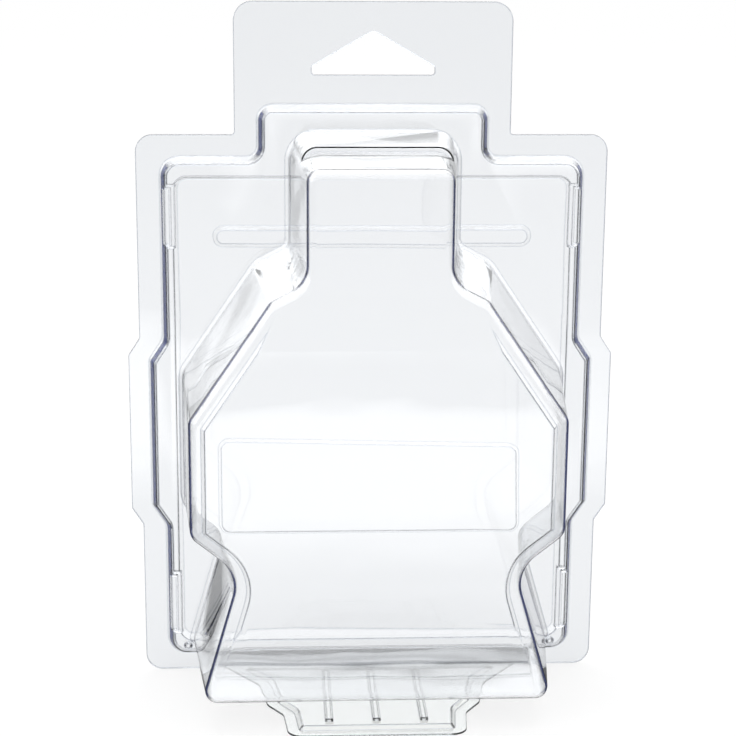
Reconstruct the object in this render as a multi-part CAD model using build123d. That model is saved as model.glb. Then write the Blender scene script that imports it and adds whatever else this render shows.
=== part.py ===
"""Clear thermoformed clamshell pack: a blistered front shell, a back lid and a fold-out foot.

Millimetres. X is to the right, the front faces -Y and Z is up. The two flanges meet on the seam
plane. Depth is counted forwards from that plane, towards -Y. Outlines are listed down the right
side as (x, z, radius) corners and mirrored to the left.
"""
import math
import os

from build123d import *

# ---- sheet and fits -------------------------------------------------------------------------
SHEET = 0.45  # wall of the formed sheet
NEST_GAP = 0.25  # between the lid's bead and the shell's plateau wall

# ---- flange: the flat card shape that shell and lid share -------------------------------------
HEIGHT = 183.8
FLANGE_HALF = 62.0
FLANGE_CORNER = 4.5
SHOULDER_Z = 149.5  # where the hang tab leaves the flange
TAB_HALF = 36.2
TAB_CORNER = 5.0
TAB_NOOK = 0.8  # radius inside the tab's foot
EAR = 3.0  # how far the hinge side and its twin stand out
EAR_TOP_Z = 90.4
EAR_BOTTOM_Z = 47.4
EAR_SLOPE = 4.6  # height of the slope at each end of an ear
EAR_ROUND = 1.0

# ---- hang hole --------------------------------------------------------------------------------
HOLE_WIDTH = 32.0
HOLE_BASE_Z = 165.0
HOLE_SIDE = 2.2  # short upright ends of the triangle
HOLE_APEX_Z = 176.4
HOLE_APEX_ROUND = 3.0
HOLE_END_ROUND = 0.8

# ---- plateau: the raised rim that stiffens the front shell -------------------------------------
PLATEAU_DEPTH = 4.0
PLATEAU_SLOPE = 0.45  # how far its wall leans in for each millimetre of depth
PLATEAU_HALF = 56.1
PLATEAU_TOP_Z = 144.2
PLATEAU_BOTTOM_Z = 4.8
PLATEAU_CORNER = 5.5
PLATEAU_NECK_HALF = 30.6
PLATEAU_NECK_Z = 157.8
PLATEAU_NECK_CORNER = 4.5
PLATEAU_NECK_NOOK = 2.5
PLATEAU_EAR = 3.7  # how far it follows the flange's ears out
PLATEAU_EAR_LAG = 1.0  # its slope ends this much nearer the ear's middle
PLATEAU_EAR_ROUND = 3.0
PLATEAU_EDGE = 0.9  # rounding of its front edge

# ---- locating notches in the plateau's sides ---------------------------------------------------
NOTCH_REACH = 1.0  # inwards from the plateau's front edge
NOTCH_DEPTH = 2.2  # depth at which a notch starts
NOTCH_SPANS = ((121.0, 135.6), (13.0, 28.6))  # (low z, high z)

# ---- buttons near the plateau's lower corners --------------------------------------------------
BUTTON_RADIUS = 1.3
BUTTON_HEIGHT = 0.7
BUTTON_CROWN = 0.6  # its front radius as a share of its foot
BUTTON_X = 50.2
BUTTON_Z = 8.6

# ---- blister: the bottle-shaped cavity ----------------------------------------------------------
FACE_DEPTH = 42.0
FACE_EDGE = 2.4  # rounding between its walls and its front
ROOT_FLARE = 0.8  # bevel where its walls leave the plateau
FLARE_LIFT = 1.5  # how far the bevel stops above the blister's floor
NECK_HALF = 17.9
NECK_TOP_Z = 146.2
NECK_CORNER = 3.2
SHOULDER_INNER_Z = 118.0
SHOULDER_INNER_ROUND = 7.5
SHOULDER_OUTER_X = 26.8
SHOULDER_OUTER_Z = 113.4
SHOULDER_OUTER_ROUND = 3.4
BELLY_HALF = 47.6
BELLY_TOP_Z = 82.7
BELLY_TOP_ROUND = 3.6
BELLY_BOTTOM_Z = 52.8
BELLY_BOTTOM_ROUND = 4.0
WAIST_HALF = 35.1
WAIST_Z = 42.8
WAIST_ROUND = 10.0
SKIRT_HALF = 45.3
SKIRT_Z = 7.6
SKIRT_ROUND = 3.2

# How far each wall spreads from the front to the plateau.
SPREAD_TOP = 4.4
SPREAD_NECK = 4.4
SPREAD_SHOULDER = 4.5
SPREAD_SLOPE = 5.0
SPREAD_BELLY = 3.2
SPREAD_WAIST = 4.4
SPREAD_SKIRT = 4.4
SPREAD_FLOOR = 1.6

# ---- collar: the fuller back part of the neck's top ---------------------------------------------
COLLAR_DEPTH = 24.0
COLLAR_ROOT_Z = 151.0
COLLAR_FRONT_Z = 149.6
COLLAR_ROOT_HALF = 21.2
COLLAR_FRONT_HALF = 19.2
COLLAR_CORNER = 4.0
COLLAR_BACK_Z = 138.0  # its lower side, lost inside the neck

# ---- label panel: the raised field on the blister's front ---------------------------------------
PANEL_RISE = 1.1
PANEL_MARGIN = 3.0  # from the front's outline to the panel's foot
PANEL_BEVEL = 0.9  # how far its sides lean in
PANEL_TOP_Z = 107.0
PANEL_BOTTOM_Z = 23.3
PANEL_TOP_RUN = 5.2  # height of its upper slope
PANEL_BOTTOM_RUN = 3.4
PANEL_CORNER = 2.0

# ---- back lid -----------------------------------------------------------------------------------
BEAD_DEPTH = 3.0
PAN_HALF = 51.3
PAN_TOP_Z = 137.8
PAN_BOTTOM_Z = 10.6
PAN_CORNER = 2.6
PAN_LEAN = 0.9  # how far its walls open towards the front
RIB_HALF = 42.2
RIB_LOW_Z = 119.6
RIB_HIGH_Z = 125.4
RIB_RISE = 1.3
RIB_LEAN = 1.1
BAND_HALF = 41.4
BAND_LOW_Z = 39.6
BAND_HIGH_Z = 67.0
BAND_RISE = 1.1
BAND_LEAN = 0.8
BAND_CORNER = 3.2

# ---- foot ---------------------------------------------------------------------------------------
FOOT_REACH = 45.6
FOOT_ROOT_HALF = 41.0
FOOT_SHOULDER_HALF = 30.6
FOOT_SHOULDER_Y = 14.0
FOOT_HIP_HALF = 28.4
FOOT_HIP_Y = 26.0
FOOT_TOE_HALF = 24.2
FOOT_TOE_Y = 32.5
FOOT_TIP_HALF = 23.0
FOOT_ROUNDS = (8.0, 4.0, 4.0, 4.0)
TRAY_MARGIN = 3.0
TRAY_RISE = 1.1
TRAY_LEAN = 0.8
FOOT_RIB_PITCH = 12.4
FOOT_RIB_WIDTH = 2.0
FOOT_RIB_RISE = 0.8
FOOT_RIB_ENDS = 3.0  # clear of the tray's front and back

# ---- places that follow from the sizes above ------------------------------------------------------
SEAM_Y = (FOOT_REACH - SHEET) / 2  # puts the origin under the middle of the whole pack
LEAN_WALL = SHEET * math.hypot(1, PLATEAU_SLOPE)  # wall of the leaning rim, measured level
PLATEAU_LEAN = PLATEAU_SLOPE * PLATEAU_DEPTH
PAST = 1.0  # how far a cutting form runs past the face that it opens


def line_crossing(a, b, c, d):
    """The point where the line through a and b meets the line through c and d."""
    ux, uz, vx, vz = b[0] - a[0], b[1] - a[1], d[0] - c[0], d[1] - c[1]
    t = ((c[0] - a[0]) * vz - (c[1] - a[1]) * vx) / (ux * vz - uz * vx)
    return a[0] + t * ux, a[1] + t * uz


def at_height(a, b, z):
    """The point at height z on the line through a and b."""
    t = (z - a[1]) / (b[1] - a[1])
    return a[0] + t * (b[0] - a[0]), z


def moved_in(corners, amounts):
    """Moves every side of a clockwise outline inwards and keeps its rounds concentric.

    Side i runs from corner i to the next one. amounts is one number or one for each side.
    """
    n = len(corners)
    if not isinstance(amounts, (list, tuple)):
        amounts = [amounts] * n
    sides = []
    for i in range(n):
        (ax, az, _), (bx, bz, _) = corners[i], corners[(i + 1) % n]
        length = math.hypot(bx - ax, bz - az)
        nx, nz = (bz - az) / length * amounts[i], -(bx - ax) / length * amounts[i]
        sides.append(((ax + nx, az + nz), (bx + nx, bz + nz)))
    out = []
    for i in range(n):
        x, z = line_crossing(*sides[i - 1], *sides[i])
        (px, pz, _), (qx, qz, r), (sx, sz, _) = corners[i - 1], corners[i], corners[(i + 1) % n]
        outward = (qx - px) * (sz - qz) - (qz - pz) * (sx - qx) < 0
        change = min(amounts[i - 1], amounts[i], key=abs)
        out.append((x, z, max(r - change if outward else r + change, 0.2)))
    return out


def both_sides(right):
    """A whole clockwise outline from its right side, listed from the top down."""
    return list(right) + [(-x, z, r) for x, z, r in reversed(right)]


def both_amounts(right, floor, top):
    """Amounts for an outline made by both_sides: its right sides, then its floor and its top."""
    return list(right) + [floor] + list(reversed(right)) + [top]


def flat(corners, depth):
    """The rounded outline as a face at a depth in front of the seam."""
    points = [(x, z) for x, z, _ in corners]
    edge = FilletPolyline(*points, radius=[r for _, _, r in corners], close=True)
    return Plane.XZ.offset(depth) * make_face(edge)


def slab(corners, back, front):
    """The outline as a plate from one depth to another."""
    return extrude(flat(corners, back), front - back, dir=(0, -1, 0))


def between(back_corners, back, front_corners, front):
    """A solid whose walls run straight from one outline to another."""
    return loft([flat(back_corners, back), flat(front_corners, front)], ruled=True)


def front_edges(solid, depth):
    """The edges of a form that lie in the plane at this depth."""
    return solid.edges().filter_by_position(Axis.Y, -depth - 1e-3, -depth + 1e-3)


# ---- outlines -------------------------------------------------------------------------------------


def flange_outline(bottom):
    ear = FLANGE_HALF + EAR
    return both_sides(
        [
            (TAB_HALF, HEIGHT, TAB_CORNER),
            (TAB_HALF, SHOULDER_Z, TAB_NOOK),
            (FLANGE_HALF, SHOULDER_Z, FLANGE_CORNER),
            (FLANGE_HALF, EAR_TOP_Z + EAR_SLOPE, EAR_ROUND),
            (ear, EAR_TOP_Z, EAR_ROUND),
            (ear, EAR_BOTTOM_Z, EAR_ROUND),
            (FLANGE_HALF, EAR_BOTTOM_Z - EAR_SLOPE, EAR_ROUND),
            (FLANGE_HALF, bottom, FLANGE_CORNER),
        ]
    )


def plateau_outline():
    ear = PLATEAU_HALF + PLATEAU_EAR
    return both_sides(
        [
            (PLATEAU_NECK_HALF, PLATEAU_NECK_Z, PLATEAU_NECK_CORNER),
            (PLATEAU_NECK_HALF, PLATEAU_TOP_Z, PLATEAU_NECK_NOOK),
            (PLATEAU_HALF, PLATEAU_TOP_Z, PLATEAU_CORNER),
            (PLATEAU_HALF, EAR_TOP_Z + EAR_SLOPE, PLATEAU_EAR_ROUND),
            (ear, EAR_TOP_Z - PLATEAU_EAR_LAG, PLATEAU_EAR_ROUND),
            (ear, EAR_BOTTOM_Z + PLATEAU_EAR_LAG, PLATEAU_EAR_ROUND),
            (PLATEAU_HALF, EAR_BOTTOM_Z - EAR_SLOPE, PLATEAU_EAR_ROUND),
            (PLATEAU_HALF, PLATEAU_BOTTOM_Z, PLATEAU_CORNER),
        ]
    )


FACE_SIDE = [
    (NECK_HALF, NECK_TOP_Z, NECK_CORNER),
    (NECK_HALF, SHOULDER_INNER_Z, SHOULDER_INNER_ROUND),
    (SHOULDER_OUTER_X, SHOULDER_OUTER_Z, SHOULDER_OUTER_ROUND),
    (BELLY_HALF, BELLY_TOP_Z, BELLY_TOP_ROUND),
    (BELLY_HALF, BELLY_BOTTOM_Z, BELLY_BOTTOM_ROUND),
    (WAIST_HALF, WAIST_Z, WAIST_ROUND),
    (SKIRT_HALF, SKIRT_Z, SKIRT_ROUND),
]
SPREAD = both_amounts(
    [SPREAD_NECK, SPREAD_SHOULDER, SPREAD_SLOPE, SPREAD_BELLY, SPREAD_WAIST, SPREAD_SKIRT],
    SPREAD_FLOOR,
    SPREAD_TOP,
)


def blister_outline(depth, inset=0.0, flare=0.0):
    """The blister's outline at a depth: its front outline, spread towards the plateau.

    A flare spreads every wall further but the floor, which it lifts clear.
    """
    share = (FACE_DEPTH - depth) / (FACE_DEPTH - PLATEAU_DEPTH)
    amounts = [inset - share * spread - flare for spread in SPREAD]
    if flare:
        amounts[len(FACE_SIDE) - 1] = FLARE_LIFT
    return moved_in(both_sides(FACE_SIDE), amounts)


def panel_outline(top, bottom, margin):
    slope_top = at_height(FACE_SIDE[2], FACE_SIDE[3], top)
    skirt_end = at_height(FACE_SIDE[5], FACE_SIDE[6], bottom)
    right = [(*slope_top, PANEL_CORNER), *FACE_SIDE[3:6], (*skirt_end, PANEL_CORNER)]
    return moved_in(both_sides(right), both_amounts([margin] * 4, 0.0, 0.0))


# ---- front shell ----------------------------------------------------------------------------------


def notch_blocks(reach, depth, spare):
    """Blocks outside the plateau's upper and lower sides, from a depth forwards."""
    edge = PLATEAU_HALF - PLATEAU_LEAN - reach
    blocks = []
    for low, high in NOTCH_SPANS:
        for side in (-1, 1):
            tall, wide, deep = high - low + 2 * spare, 20.0, 20.0
            middle = (side * (edge + wide / 2), -depth - deep / 2, (low + high) / 2)
            blocks.append(Pos(*middle) * Box(wide, deep, tall))
    return blocks


def plateau_form(inset):
    """The plateau as a solid, with its walls, front and notches moved in by the sheet or not."""
    lean_inset = LEAN_WALL if inset else 0.0
    front = PLATEAU_DEPTH - inset
    start = -PAST if inset else 0.0
    form = between(
        moved_in(plateau_outline(), lean_inset + PLATEAU_SLOPE * start),
        start,
        moved_in(plateau_outline(), lean_inset + PLATEAU_SLOPE * front),
        front,
    )
    form = fillet(front_edges(form, front), PLATEAU_EDGE - inset)
    for block in notch_blocks(NOTCH_REACH + inset, NOTCH_DEPTH - inset, inset):
        form -= block
    return form


def blister_form(inset):
    """The blister as a solid, from inside the plateau to its front."""
    start, front = PLATEAU_DEPTH / 2, FACE_DEPTH - inset
    form = between(blister_outline(start, inset), start, blister_outline(front, inset), front)
    form = fillet(front_edges(form, front), FACE_EDGE - inset)
    return form + flare_form(inset) + collar_form(inset) + panel_form(inset)


def flare_form(inset):
    """The bevel all round the blister's root, at 45 degrees."""
    end = PLATEAU_DEPTH + ROOT_FLARE - inset * (math.sqrt(2) - 1)
    start, buried = end - 2 * ROOT_FLARE, end + ROOT_FLARE
    return between(
        blister_outline(start, inset, end - start),
        start,
        blister_outline(buried, inset, end - buried),
        buried,
    )


def collar_form(inset):
    """The fuller back part of the neck's top, which ends in a small ledge."""
    start, front = PLATEAU_DEPTH / 2, COLLAR_DEPTH - inset
    root = both_sides(
        [(COLLAR_ROOT_HALF, COLLAR_ROOT_Z, COLLAR_CORNER), (COLLAR_ROOT_HALF, COLLAR_BACK_Z, 1.0)]
    )
    ledge = both_sides(
        [(COLLAR_FRONT_HALF, COLLAR_FRONT_Z, COLLAR_CORNER), (COLLAR_FRONT_HALF, COLLAR_BACK_Z, 1.0)]
    )
    return between(moved_in(root, inset), start, moved_in(ledge, inset), front)


def panel_form(inset):
    """The label panel: a low pad whose sides lean in."""
    foot = panel_outline(PANEL_TOP_Z, PANEL_BOTTOM_Z, PANEL_MARGIN + inset / 2)
    crest = panel_outline(
        PANEL_TOP_Z - PANEL_TOP_RUN,
        PANEL_BOTTOM_Z + PANEL_BOTTOM_RUN,
        PANEL_MARGIN + PANEL_BEVEL + inset / 2,
    )
    start = FACE_DEPTH - inset
    return between(foot, start, crest, start + PANEL_RISE)


def buttons(radius, back, front):
    """Two small tapered studs near the plateau's lower corners."""
    base = (Align.CENTER, Align.CENTER, Align.MIN)
    cone = Rot(90, 0, 0) * Cone(radius, radius * BUTTON_CROWN, front - back, align=base)
    return [Pos(side * BUTTON_X, -back, BUTTON_Z) * cone for side in (-1, 1)]


def hang_hole(back, front):
    half = HOLE_WIDTH / 2
    outline = [
        (0.0, HOLE_APEX_Z, HOLE_APEX_ROUND),
        (half, HOLE_BASE_Z + HOLE_SIDE, HOLE_END_ROUND),
        (half, HOLE_BASE_Z, HOLE_END_ROUND),
        (-half, HOLE_BASE_Z, HOLE_END_ROUND),
        (-half, HOLE_BASE_Z + HOLE_SIDE, HOLE_END_ROUND),
    ]
    return slab(outline, back, front)


def make_front_shell():
    outside = slab(flange_outline(SHEET), 0, SHEET) + plateau_form(0.0) + blister_form(0.0)
    inside = plateau_form(SHEET) + blister_form(SHEET)
    shell = outside - inside - hang_hole(-PAST, PLATEAU_DEPTH)
    crest = PLATEAU_DEPTH + BUTTON_HEIGHT
    for stud in buttons(BUTTON_RADIUS, PLATEAU_DEPTH - SHEET / 2, crest):
        shell += stud
    for hollow in buttons(BUTTON_RADIUS - SHEET, PLATEAU_DEPTH - 2 * SHEET, crest - SHEET):
        shell -= hollow
    return shell


# ---- back lid -------------------------------------------------------------------------------------


def rectangle(half, low, high, corner):
    return both_sides([(half, high, corner), (half, low, corner)])


def bead_form(inset):
    """The bead that nests inside the plateau, as a solid ring around the pan."""
    back = -SHEET - PAST if inset else 0.0
    crest = BEAD_DEPTH - inset
    clear = LEAN_WALL + NEST_GAP + (LEAN_WALL if inset else 0.0)
    ring = between(
        moved_in(plateau_outline(), clear + PLATEAU_SLOPE * back),
        back,
        moved_in(plateau_outline(), clear + PLATEAU_SLOPE * crest),
        crest,
    )
    lean = PAN_LEAN / BEAD_DEPTH
    floor = moved_in(rectangle(PAN_HALF, PAN_BOTTOM_Z, PAN_TOP_Z, PAN_CORNER), -inset)
    low, high = back - PAST, crest + PAST
    ring -= between(moved_in(floor, -lean * low), low, moved_in(floor, -lean * high), high)
    reach = PLATEAU_HALF - PLATEAU_LEAN - PAN_HALF + PAN_LEAN
    gap = NEST_GAP + inset
    for block in notch_blocks(reach, NOTCH_DEPTH - SHEET - gap, SHEET + gap):
        ring -= block
    return ring


def pad_form(outline, rise, lean, inset):
    """A raised field in the pan's floor, or the hollow behind it."""
    back = -SHEET - PAST if inset else 0.0
    front = rise - inset
    per_depth = lean / rise
    foot = moved_in(outline, inset + per_depth * back)
    return between(foot, back, moved_in(outline, inset + per_depth * front), front)


def make_back_lid():
    rib = rectangle(RIB_HALF, RIB_LOW_Z, RIB_HIGH_Z, (RIB_HIGH_Z - RIB_LOW_Z) / 2 - 0.1)
    band = rectangle(BAND_HALF, BAND_LOW_Z, BAND_HIGH_Z, BAND_CORNER)
    lid = slab(flange_outline(0.0), -SHEET, 0) + bead_form(0.0)
    lid += pad_form(rib, RIB_RISE, RIB_LEAN, 0.0)
    lid += pad_form(band, BAND_RISE, BAND_LEAN, 0.0)
    lid -= bead_form(SHEET)
    lid -= pad_form(rib, RIB_RISE, RIB_LEAN, SHEET)
    lid -= pad_form(band, BAND_RISE, BAND_LEAN, SHEET)
    return lid - hang_hole(-SHEET - PAST, PAST)


# ---- foot -----------------------------------------------------------------------------------------


def foot_outline():
    """The flap from above, as (x, distance forwards) down its right side."""
    r1, r2, r3, r4 = FOOT_ROUNDS
    return [
        (FOOT_ROOT_HALF, -SHEET, 0.2),
        (FOOT_SHOULDER_HALF, -FOOT_SHOULDER_Y, r1),
        (FOOT_HIP_HALF, -FOOT_HIP_Y, r2),
        (FOOT_TOE_HALF, -FOOT_TOE_Y, r3),
        (FOOT_TIP_HALF, -FOOT_REACH, r4),
    ]


def level_face(corners, height):
    points = [(x, y) for x, y, _ in corners]
    edge = FilletPolyline(*points, radius=[r for _, _, r in corners], close=True)
    return Plane.XY.offset(height) * make_face(edge)


def tray_form(inset):
    """The raised middle of the flap, or the hollow under it."""
    outline = both_sides(foot_outline())
    low, high = (-PAST, TRAY_RISE) if inset else (SHEET / 2, SHEET + TRAY_RISE)
    floor = 0.0 if inset else SHEET
    sides = []
    for height in (low, high):
        amount = TRAY_MARGIN + inset + (height - floor) * TRAY_LEAN / TRAY_RISE
        sides.append(level_face(moved_in(outline, amount), height))
    return loft(sides, ruled=True)


def foot_ribs(width, bottom, top, trim):
    """Three upstanding ribs that run from front to back, or the grooves under them."""
    near = TRAY_MARGIN + SHEET + FOOT_RIB_ENDS + trim
    far = FOOT_REACH - TRAY_MARGIN - FOOT_RIB_ENDS - trim
    ribs = []
    for place in (-1, 0, 1):
        middle = (place * FOOT_RIB_PITCH, -(near + far) / 2, (bottom + top) / 2)
        ribs.append(Pos(*middle) * Box(width, far - near, top - bottom))
    return ribs


def make_foot():
    foot = extrude(level_face(both_sides(foot_outline()), 0.0), SHEET) + tray_form(0.0)
    crest = SHEET + TRAY_RISE
    for rib in foot_ribs(FOOT_RIB_WIDTH, crest - SHEET / 2, crest + FOOT_RIB_RISE, 0.0):
        foot += rib
    foot -= tray_form(SHEET)
    hollow_top = crest + FOOT_RIB_RISE - SHEET
    for groove in foot_ribs(FOOT_RIB_WIDTH - 2 * SHEET, 0.0, hollow_top, SHEET):
        foot -= groove
    return foot


def main():
    os.makedirs("parts", exist_ok=True)
    made = {"front_shell": make_front_shell(), "back_lid": make_back_lid(), "stand_foot": make_foot()}
    for name, shape in made.items():
        placed = Pos(0, SEAM_Y, 0) * shape
        export_step(placed, f"parts/{name}.step")
        print(name, "solids", len(placed.solids()), "volume", round(placed.volume, 1))


main()
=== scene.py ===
"""Clear thermoformed clamshell pack on a pale studio floor. Metres, in the CAD frame.

The front faces -Y. The three sheets are the CAD pieces, joined and smooth shaded, in clear PET.
Their folds are sharp in the mesh and are rounded in the material only.
"""
import math

import bmesh
import bpy
from mathutils import Matrix, Vector


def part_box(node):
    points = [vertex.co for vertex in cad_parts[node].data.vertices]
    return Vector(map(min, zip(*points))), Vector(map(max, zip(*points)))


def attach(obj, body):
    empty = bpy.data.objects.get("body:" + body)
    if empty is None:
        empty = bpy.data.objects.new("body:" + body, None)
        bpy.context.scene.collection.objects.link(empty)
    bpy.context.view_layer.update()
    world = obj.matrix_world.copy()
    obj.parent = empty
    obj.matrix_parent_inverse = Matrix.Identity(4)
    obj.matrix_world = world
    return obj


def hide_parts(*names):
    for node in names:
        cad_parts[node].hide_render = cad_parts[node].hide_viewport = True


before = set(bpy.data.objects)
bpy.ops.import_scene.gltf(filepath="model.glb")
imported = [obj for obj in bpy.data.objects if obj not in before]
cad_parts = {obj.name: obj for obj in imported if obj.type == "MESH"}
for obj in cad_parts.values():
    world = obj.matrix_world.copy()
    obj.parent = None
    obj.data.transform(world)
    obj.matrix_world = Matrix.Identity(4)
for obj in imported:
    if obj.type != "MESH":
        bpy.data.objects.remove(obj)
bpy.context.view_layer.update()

MM = 0.001

# ---- camera ---------------------------------------------------------------------------------
SENSOR = 36.0  # both in mm, as Blender takes them
LENS = 94.573
CAMERA_DISTANCE = 521.5 * MM
CAMERA_TARGET = (-0.82 * MM, 22.575 * MM, 86.4 * MM)
CAMERA_AZIMUTH = -3.049
CAMERA_ELEVATION = 14.43
CAMERA_ROLL = -0.403
CLIP_START, CLIP_END = 0.01, 50.0

# ---- sheet: mesh ----------------------------------------------------------------------------
SEAM_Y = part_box("front_shell")[1][1]  # plane where the two flanges meet
SEAM_AIR = 0.05 * MM  # each mating face's distance from that plane
MERGE = 0.004 * MM  # corners nearer than this are one
LEAST_EDGE = 0.01 * MM  # keeps a face with no outline from a division by nothing
FLAT_ANGLE = math.radians(0.6)
FOLD_ANGLE = math.radians(26)  # a bend sharper than this is a fold
SOFT_BEND = math.radians(8)  # and so is a gentler one between open fields
OPEN_ROOM = 0.8 * MM  # a face wider than this is an open field

# ---- sheet: material ------------------------------------------------------------------------
PET_IOR = 1.57
PET_TINT = (0.934, 0.943, 0.954, 1.0)
FOOT_TINT = (0.870, 0.888, 0.880, 1.0)  # a greyer, greener tint on the foot's sheet
FOLD_PAINTED_SHADE = (0.003, 0.005, 0.035, 1.0)  # painted shade: near black where the sheet is seen along its own plane, standing in for the dark lines its folds would refract
FOLD_SHADE_START = 0.78  # facing value where that painted shade begins
FOLD_ROUND = 0.40 * MM  # radius to which the material rounds a bend
BEND_PAINTED_SHADE = (0.60, 0.63, 0.69, 1.0)  # painted shade: a fine grey line along every bend, for what a rounded fold would refract
LINE_START, LINE_FULL = 0.9995, 0.992  # rounded against plain normal, as cosines
HAZE_SIZE, HAZE_DETAIL, HAZE_BREAK = 260.0, 6.0, 0.65
HAZE_LOW, HAZE_HIGH = 0.55, 0.85  # noise values between which the sheet goes hazy
GLOSSY, HAZY = 0.015, 0.07  # roughness
FLOW_SIZE = 22.0  # waves across a metre, for the sheet's slow ripples
FLOW_DETAIL, FLOW_BREAK = 2.0, 0.4
FLOW_STRETCH = (1.0, 1.0, 1.6)
FLOW_DEPTH = 0.14
FLOW_HEIGHT = 4.0 * MM

# Depths in front of the seam at which upright bends get painted shade, on the shell only.
RIM_START, RIM_FULL = 1.1 * MM, 1.7 * MM
RIM_DEPTH = 4.0 * MM
FRONT_FOLD_DEPTH = 38.8 * MM
FACE_DEPTH = 42.0 * MM  # the label panel stands in front of this
DEPTH_FADE, PANEL_FADE = 1.0 * MM, 0.1 * MM
SIDE_START, SIDE_FULL = 0.35, 0.70  # how far a bend faces sideways
SLANT_START, SLANT_FULL = 0.26, 0.42  # facing values over which its painted shade comes in

# ---- studio ---------------------------------------------------------------------------------
FLOOR_SIZE = 6.0
FLOOR_DROP = 0.0002
PAPER = (0.88, 0.88, 0.88, 1.0)
PAPER_GLOW = 0.80  # share of the paper that stays white whatever falls on it
WHITE = (1.0, 1.0, 1.0, 1.0)
HORIZON_LEVEL = 0.10  # how bright the room is where the sheets mirror it
SKY_LEVEL = 2.0  # the soft box overhead, mirrored or seen through a sheet
BOX_LOW, BOX_HIGH = 0.0, 0.20  # heights over which that box comes in, as sines
FILL_LEVEL = 1.12  # the room's light on the floor
CLEAR_BOUNCES, TRAPPED_BOUNCES = 7.5, 10.5  # between these a ray counts as caught in a sheet
TRAPPED_LEVEL = 0.35  # what is left of light that has run along inside a sheet
FLOOR_MIRROR = 0.12  # painted reflection: the floor's brightness in the sheets' mirror images, apart from how it is lit
POOL_LEVEL = 2.35  # painted light: a strip of it in front of the pack glows this brightly in mirror images only
POOL_NEAR, POOL_FAR = 0.120, 0.345  # distances at which that strip starts and ends
POOL_SOFT, POOL_FADE = 0.075, 0.120  # how softly it does so
POOL_HALF = 0.090
PACK_MIDDLE = (0.0, 0.0, 0.08)
LAMPS = (  # name, place, size, watts
    ("top_box", (0.0, 0.1, 1.2), (1.0, 0.8), 6.0),
    ("left_box", (-1.0, -0.6, 0.7), (0.5, 0.9), 2.0),
)


# ---- small helpers for node trees -------------------------------------------------------------


def new_tree(owner):
    owner.use_nodes = True
    tree = owner.node_tree
    tree.nodes.clear()
    return tree


def add_node(tree, kind, **settings):
    node = tree.nodes.new(kind)
    for key, value in settings.items():
        setattr(node, key, value)
    return node


def math_node(tree, operation, a, b=None):
    node = add_node(tree, "ShaderNodeMath", operation=operation)
    for socket, value in zip(node.inputs, (a, b)):
        if value is None:
            continue
        if isinstance(value, (int, float)):
            socket.default_value = value
        else:
            tree.links.new(value, socket)
    return node.outputs[0]


def object_noise(tree, scale, detail, roughness, stretch=(1, 1, 1)):
    """Noise fixed to the piece, as a value from 0 to 1."""
    place = add_node(tree, "ShaderNodeTexCoord").outputs["Object"]
    turn = add_node(tree, "ShaderNodeMapping")
    turn.inputs["Scale"].default_value = stretch
    tree.links.new(place, turn.inputs["Vector"])
    noise = add_node(tree, "ShaderNodeTexNoise")
    noise.inputs["Scale"].default_value = scale
    noise.inputs["Detail"].default_value = detail
    noise.inputs["Roughness"].default_value = roughness
    tree.links.new(turn.outputs["Vector"], noise.inputs["Vector"])
    return noise.outputs[0]


def ramp(tree, value, low, high, to_low, to_high):
    """value from low to high, as to_low to to_high, and level beyond."""
    node = add_node(tree, "ShaderNodeMapRange", clamp=True)
    for key, number in (
        ("From Min", low),
        ("From Max", high),
        ("To Min", to_low),
        ("To Max", to_high),
    ):
        node.inputs[key].default_value = number
    tree.links.new(value, node.inputs["Value"])
    return node.outputs["Result"]


def mixed_colours(tree, share, first, second):
    """first where share is 0 and second where it is 1; each is a colour or a socket."""
    node = add_node(tree, "ShaderNodeMix", data_type="RGBA")
    tree.links.new(share, node.inputs["Factor"])
    for socket, value in ((node.inputs[6], first), (node.inputs[7], second)):
        if isinstance(value, tuple):
            socket.default_value = value
        else:
            tree.links.new(value, socket)
    return node.outputs[2]


# ---- materials --------------------------------------------------------------------------------


def painted_bend_shade(tree, rounded):
    """Mask of a painted shade line: 1 along the bends of the sheet, where its rounded normal
    leaves the plain one.
    """
    plain = add_node(tree, "ShaderNodeNewGeometry").outputs["Normal"]
    both = add_node(tree, "ShaderNodeVectorMath", operation="DOT_PRODUCT")
    tree.links.new(rounded, both.inputs[0])
    tree.links.new(plain, both.inputs[1])
    return ramp(tree, both.outputs["Value"], LINE_START, LINE_FULL, 0.0, 1.0)


def painted_side_fold_shade(tree, facing):
    """Mask of painted shade: 1 on the upright bends of the rim and of the blister's front, where
    they slant away.
    """
    coordinates = add_node(tree, "ShaderNodeTexCoord")
    place = add_node(tree, "ShaderNodeSeparateXYZ")
    tree.links.new(coordinates.outputs["Object"], place.inputs[0])
    depth = math_node(tree, "SUBTRACT", SEAM_Y, place.outputs["Y"])
    above_flange = ramp(tree, depth, RIM_START, RIM_FULL, 0.0, 1.0)
    below_crest = ramp(tree, depth, RIM_DEPTH, RIM_DEPTH + DEPTH_FADE, 1.0, 0.0)
    rim = math_node(tree, "MULTIPLY", above_flange, below_crest)
    near_face = ramp(tree, depth, FRONT_FOLD_DEPTH, FRONT_FOLD_DEPTH + DEPTH_FADE, 0.0, 1.0)
    behind_panel = ramp(tree, depth, FACE_DEPTH, FACE_DEPTH + PANEL_FADE, 1.0, 0.0)
    front = math_node(tree, "MULTIPLY", near_face, behind_panel)
    normal = add_node(tree, "ShaderNodeSeparateXYZ")
    tree.links.new(coordinates.outputs["Normal"], normal.inputs[0])
    sideways = math_node(tree, "ABSOLUTE", normal.outputs["X"])
    sideways = ramp(tree, sideways, SIDE_START, SIDE_FULL, 0.0, 1.0)
    slanting = ramp(tree, facing, SLANT_START, SLANT_FULL, 0.0, 1.0)
    zone = math_node(tree, "MAXIMUM", rim, front)
    return math_node(tree, "MULTIPLY", math_node(tree, "MULTIPLY", zone, sideways), slanting)


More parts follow.
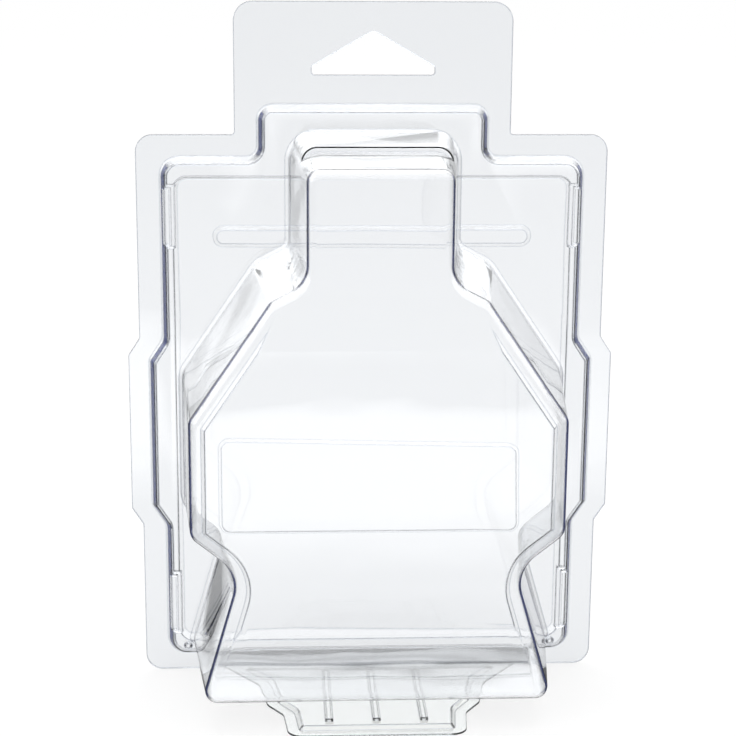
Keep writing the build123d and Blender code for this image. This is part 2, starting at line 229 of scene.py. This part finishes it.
def clear_pet(name, tone=PET_TINT, paint_side_fold_shade=False):
    """Glossy clear PET sheet: faint blue-grey, with painted shade: near black where it is seen
    along its own plane, and a grey line along each bend.
    """
    material = bpy.data.materials.new(name)
    tree = new_tree(material)
    out = add_node(tree, "ShaderNodeOutputMaterial")
    shader = add_node(tree, "ShaderNodeBsdfPrincipled")
    shader.inputs["IOR"].default_value = PET_IOR
    shader.inputs["Transmission Weight"].default_value = 1.0
    facing = add_node(tree, "ShaderNodeLayerWeight")
    facing.inputs["Blend"].default_value = 0.5
    # edge: painted shade, near black where the sheet is seen edge-on and, on the shell, on its
    # slanting side folds
    edge = ramp(tree, facing.outputs["Facing"], FOLD_SHADE_START, 1.0, 0.0, 1.0)
    if paint_side_fold_shade:
        edge = math_node(tree, "MAXIMUM", edge, painted_side_fold_shade(tree, facing.outputs["Facing"]))
    fold = add_node(tree, "ShaderNodeBevel", samples=4)
    fold.inputs["Radius"].default_value = FOLD_ROUND
    bend_shaded = mixed_colours(tree, painted_bend_shade(tree, fold.outputs["Normal"]), tone, BEND_PAINTED_SHADE)
    tree.links.new(mixed_colours(tree, edge, bend_shaded, FOLD_PAINTED_SHADE), shader.inputs["Base Color"])
    haze = object_noise(tree, HAZE_SIZE, HAZE_DETAIL, HAZE_BREAK)
    haze = ramp(tree, haze, HAZE_LOW, HAZE_HIGH, GLOSSY, HAZY)
    tree.links.new(haze, shader.inputs["Roughness"])
    flow = object_noise(tree, FLOW_SIZE, FLOW_DETAIL, FLOW_BREAK, FLOW_STRETCH)
    bump = add_node(tree, "ShaderNodeBump")
    tree.links.new(fold.outputs["Normal"], bump.inputs["Normal"])
    bump.inputs["Strength"].default_value = FLOW_DEPTH
    bump.inputs["Distance"].default_value = FLOW_HEIGHT
    tree.links.new(flow, bump.inputs["Height"])
    tree.links.new(bump.outputs["Normal"], shader.inputs["Normal"])
    tree.links.new(shader.outputs[0], out.inputs["Surface"])
    return material


def seen_straight(tree, behind=1.0):
    """1 for camera rays, behind for rays through the sheets, falling where folds trap them."""
    path = add_node(tree, "ShaderNodeLightPath")
    depth = path.outputs["Ray Depth"]
    clear = ramp(tree, depth, CLEAR_BOUNCES, TRAPPED_BOUNCES, 1.0, TRAPPED_LEVEL)
    through = math_node(tree, "MULTIPLY", path.outputs["Is Transmission Ray"], clear)
    through = math_node(tree, "MULTIPLY", through, behind)
    return math_node(tree, "ADD", path.outputs["Is Camera Ray"], through)


def mirrored(tree):
    """1 for rays mirrored off the sheets' faces."""
    path = add_node(tree, "ShaderNodeLightPath")
    return math_node(
        tree, "MULTIPLY", path.outputs["Is Glossy Ray"], path.outputs["Is Reflection Ray"]
    )


def painted_light_pool(tree):
    """1 on the strip of floor in front of the pack that its blister's face mirrors, where painted
    light glows.
    """
    place = add_node(tree, "ShaderNodeTexCoord").outputs["Object"]
    split = add_node(tree, "ShaderNodeSeparateXYZ")
    tree.links.new(place, split.inputs[0])
    near = ramp(tree, split.outputs["Y"], -POOL_NEAR, -POOL_NEAR - POOL_SOFT, 0.0, 1.0)
    far = ramp(tree, split.outputs["Y"], -POOL_FAR, -POOL_FAR - POOL_FADE, 1.0, 0.0)
    aside = math_node(tree, "ABSOLUTE", split.outputs["X"])
    sides = ramp(tree, aside, POOL_HALF, POOL_HALF + POOL_SOFT, 1.0, 0.0)
    return math_node(tree, "MULTIPLY", math_node(tree, "MULTIPLY", near, far), sides)


def floor_paper():
    """White paper: it takes the pack's shadow and stays white to the camera; its mirror images are
    a painted reflection.
    """
    material = bpy.data.materials.new("floor_paper")
    tree = new_tree(material)
    out = add_node(tree, "ShaderNodeOutputMaterial")
    paper = add_node(tree, "ShaderNodeBsdfDiffuse")
    paper.inputs["Color"].default_value = PAPER
    pool = ramp(tree, painted_light_pool(tree), 0.0, 1.0, FLOOR_MIRROR, POOL_LEVEL)
    pool = math_node(tree, "MULTIPLY", pool, mirrored(tree))
    glow = add_node(tree, "ShaderNodeEmission")
    tree.links.new(math_node(tree, "ADD", seen_straight(tree), pool), glow.inputs["Strength"])
    both = add_node(tree, "ShaderNodeMixShader")
    share = ramp(tree, mirrored(tree), 0.0, 1.0, PAPER_GLOW, 1.0)
    tree.links.new(share, both.inputs[0])
    tree.links.new(paper.outputs[0], both.inputs[1])
    tree.links.new(glow.outputs[0], both.inputs[2])
    tree.links.new(both.outputs[0], out.inputs["Surface"])
    return material


def studio_world():
    """White behind the pack; a dim room with a bright ceiling in the sheets' mirror images."""
    world = bpy.data.worlds.new("studio")
    bpy.context.scene.world = world
    tree = new_tree(world)
    out = add_node(tree, "ShaderNodeOutputWorld")
    place = add_node(tree, "ShaderNodeTexCoord").outputs["Generated"]
    split = add_node(tree, "ShaderNodeSeparateXYZ")
    tree.links.new(place, split.inputs[0])
    room = ramp(tree, split.outputs["Z"], BOX_LOW, BOX_HIGH, HORIZON_LEVEL, SKY_LEVEL)
    room = math_node(tree, "MULTIPLY", room, mirrored(tree))
    path = add_node(tree, "ShaderNodeLightPath")
    fill = math_node(tree, "MULTIPLY", path.outputs["Is Diffuse Ray"], FILL_LEVEL)
    box = ramp(tree, split.outputs["Z"], BOX_LOW, BOX_HIGH, 1.0, SKY_LEVEL)
    level = math_node(tree, "ADD", math_node(tree, "ADD", room, fill), seen_straight(tree, box))
    glow = add_node(tree, "ShaderNodeBackground")
    glow.inputs["Color"].default_value = WHITE
    tree.links.new(level, glow.inputs["Strength"])
    tree.links.new(glow.outputs[0], out.inputs["Surface"])


# ---- pieces -----------------------------------------------------------------------------------


def width_of(face):
    """About how wide a long face is."""
    return 2 * face.calc_area() / max(face.calc_perimeter(), LEAST_EDGE)


def crease_folds(bm):
    """Shades rounds smoothly, and keeps the creases of folds and of low steps between fields."""
    bmesh.ops.dissolve_limit(bm, angle_limit=FLAT_ANGLE, verts=bm.verts[:], edges=bm.edges[:])
    bm.normal_update()
    for face in bm.faces:
        face.smooth = True
    for edge in bm.edges:
        turn = edge.calc_face_angle(0.0)
        room = min(width_of(face) for face in edge.link_faces)
        edge.smooth = turn < FOLD_ANGLE and not (turn > SOFT_BEND and room > OPEN_ROOM)


def joined_sheet(node, body, name, material, seam_shift=0.0):
    """The CAD sheet with its loose triangles joined, so that its rounds shade smoothly.

    seam_shift draws its mating face off the seam plane, so that air lies between the two flanges.
    """
    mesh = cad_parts[node].data.copy()
    mesh.name = name
    bm = bmesh.new()
    bm.from_mesh(mesh)
    bmesh.ops.remove_doubles(bm, verts=bm.verts[:], dist=MERGE)
    for vert in bm.verts:
        if abs(vert.co.y - SEAM_Y) < MERGE:
            vert.co.y += seam_shift
    crease_folds(bm)
    bm.to_mesh(mesh)
    bm.free()
    mesh.materials.clear()
    mesh.materials.append(material)
    piece = bpy.data.objects.new(name, mesh)
    bpy.context.scene.collection.objects.link(piece)
    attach(piece, body)
    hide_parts(node)
    return piece


# ---- floor, lamps and camera ------------------------------------------------------------------


def make_floor():
    bm = bmesh.new()
    bmesh.ops.create_grid(bm, x_segments=1, y_segments=1, size=FLOOR_SIZE)
    bmesh.ops.translate(bm, vec=(0, 0, -FLOOR_DROP), verts=bm.verts[:])
    mesh = bpy.data.meshes.new("studio_floor")
    bm.to_mesh(mesh)
    bm.free()
    mesh.materials.append(floor_paper())
    floor = bpy.data.objects.new("studio_floor", mesh)
    bpy.context.scene.collection.objects.link(floor)


def soft_box(name, place, size, watts):
    light = bpy.data.lights.new(name, "AREA")
    light.shape = "RECTANGLE"
    light.size, light.size_y = size
    light.energy = watts
    lamp = bpy.data.objects.new(name, light)
    lamp.location = place
    aim = Vector(PACK_MIDDLE) - Vector(place)
    lamp.rotation_euler = aim.to_track_quat("-Z", "Y").to_euler()
    bpy.context.scene.collection.objects.link(lamp)


def make_camera():
    a, e = math.radians(CAMERA_AZIMUTH), math.radians(CAMERA_ELEVATION)
    back = Vector((math.sin(a) * math.cos(e), -math.cos(a) * math.cos(e), math.sin(e)))
    level = back.cross(Vector((0, 0, 1))).normalized() * -1
    up = back.cross(level)
    r = math.radians(CAMERA_ROLL)
    right = level * math.cos(r) - up * math.sin(r)
    top = up * math.cos(r) + level * math.sin(r)
    data = bpy.data.cameras.new("camera")
    data.sensor_width = SENSOR
    data.lens = LENS
    data.clip_start, data.clip_end = CLIP_START, CLIP_END
    camera = bpy.data.objects.new("camera", data)
    turn = Matrix((right, top, back)).transposed().to_4x4()
    camera.matrix_world = Matrix.Translation(Vector(CAMERA_TARGET) + back * CAMERA_DISTANCE) @ turn
    bpy.context.scene.collection.objects.link(camera)
    bpy.context.scene.camera = camera


make_camera()
pet = clear_pet("clear_pet")
shell_pet = clear_pet("clear_pet_shell", paint_side_fold_shade=True)
foot_pet = clear_pet("clear_pet_foot", FOOT_TINT)
joined_sheet("front_shell", "shell", "front_sheet", shell_pet, -SEAM_AIR)
joined_sheet("back_lid", "lid", "lid_sheet", pet, SEAM_AIR)
joined_sheet("stand_foot", "foot", "foot_sheet", foot_pet)
make_floor()
studio_world()
for lamp_values in LAMPS:
    soft_box(*lamp_values)

bpy.context.scene.view_settings.view_transform = "Standard"
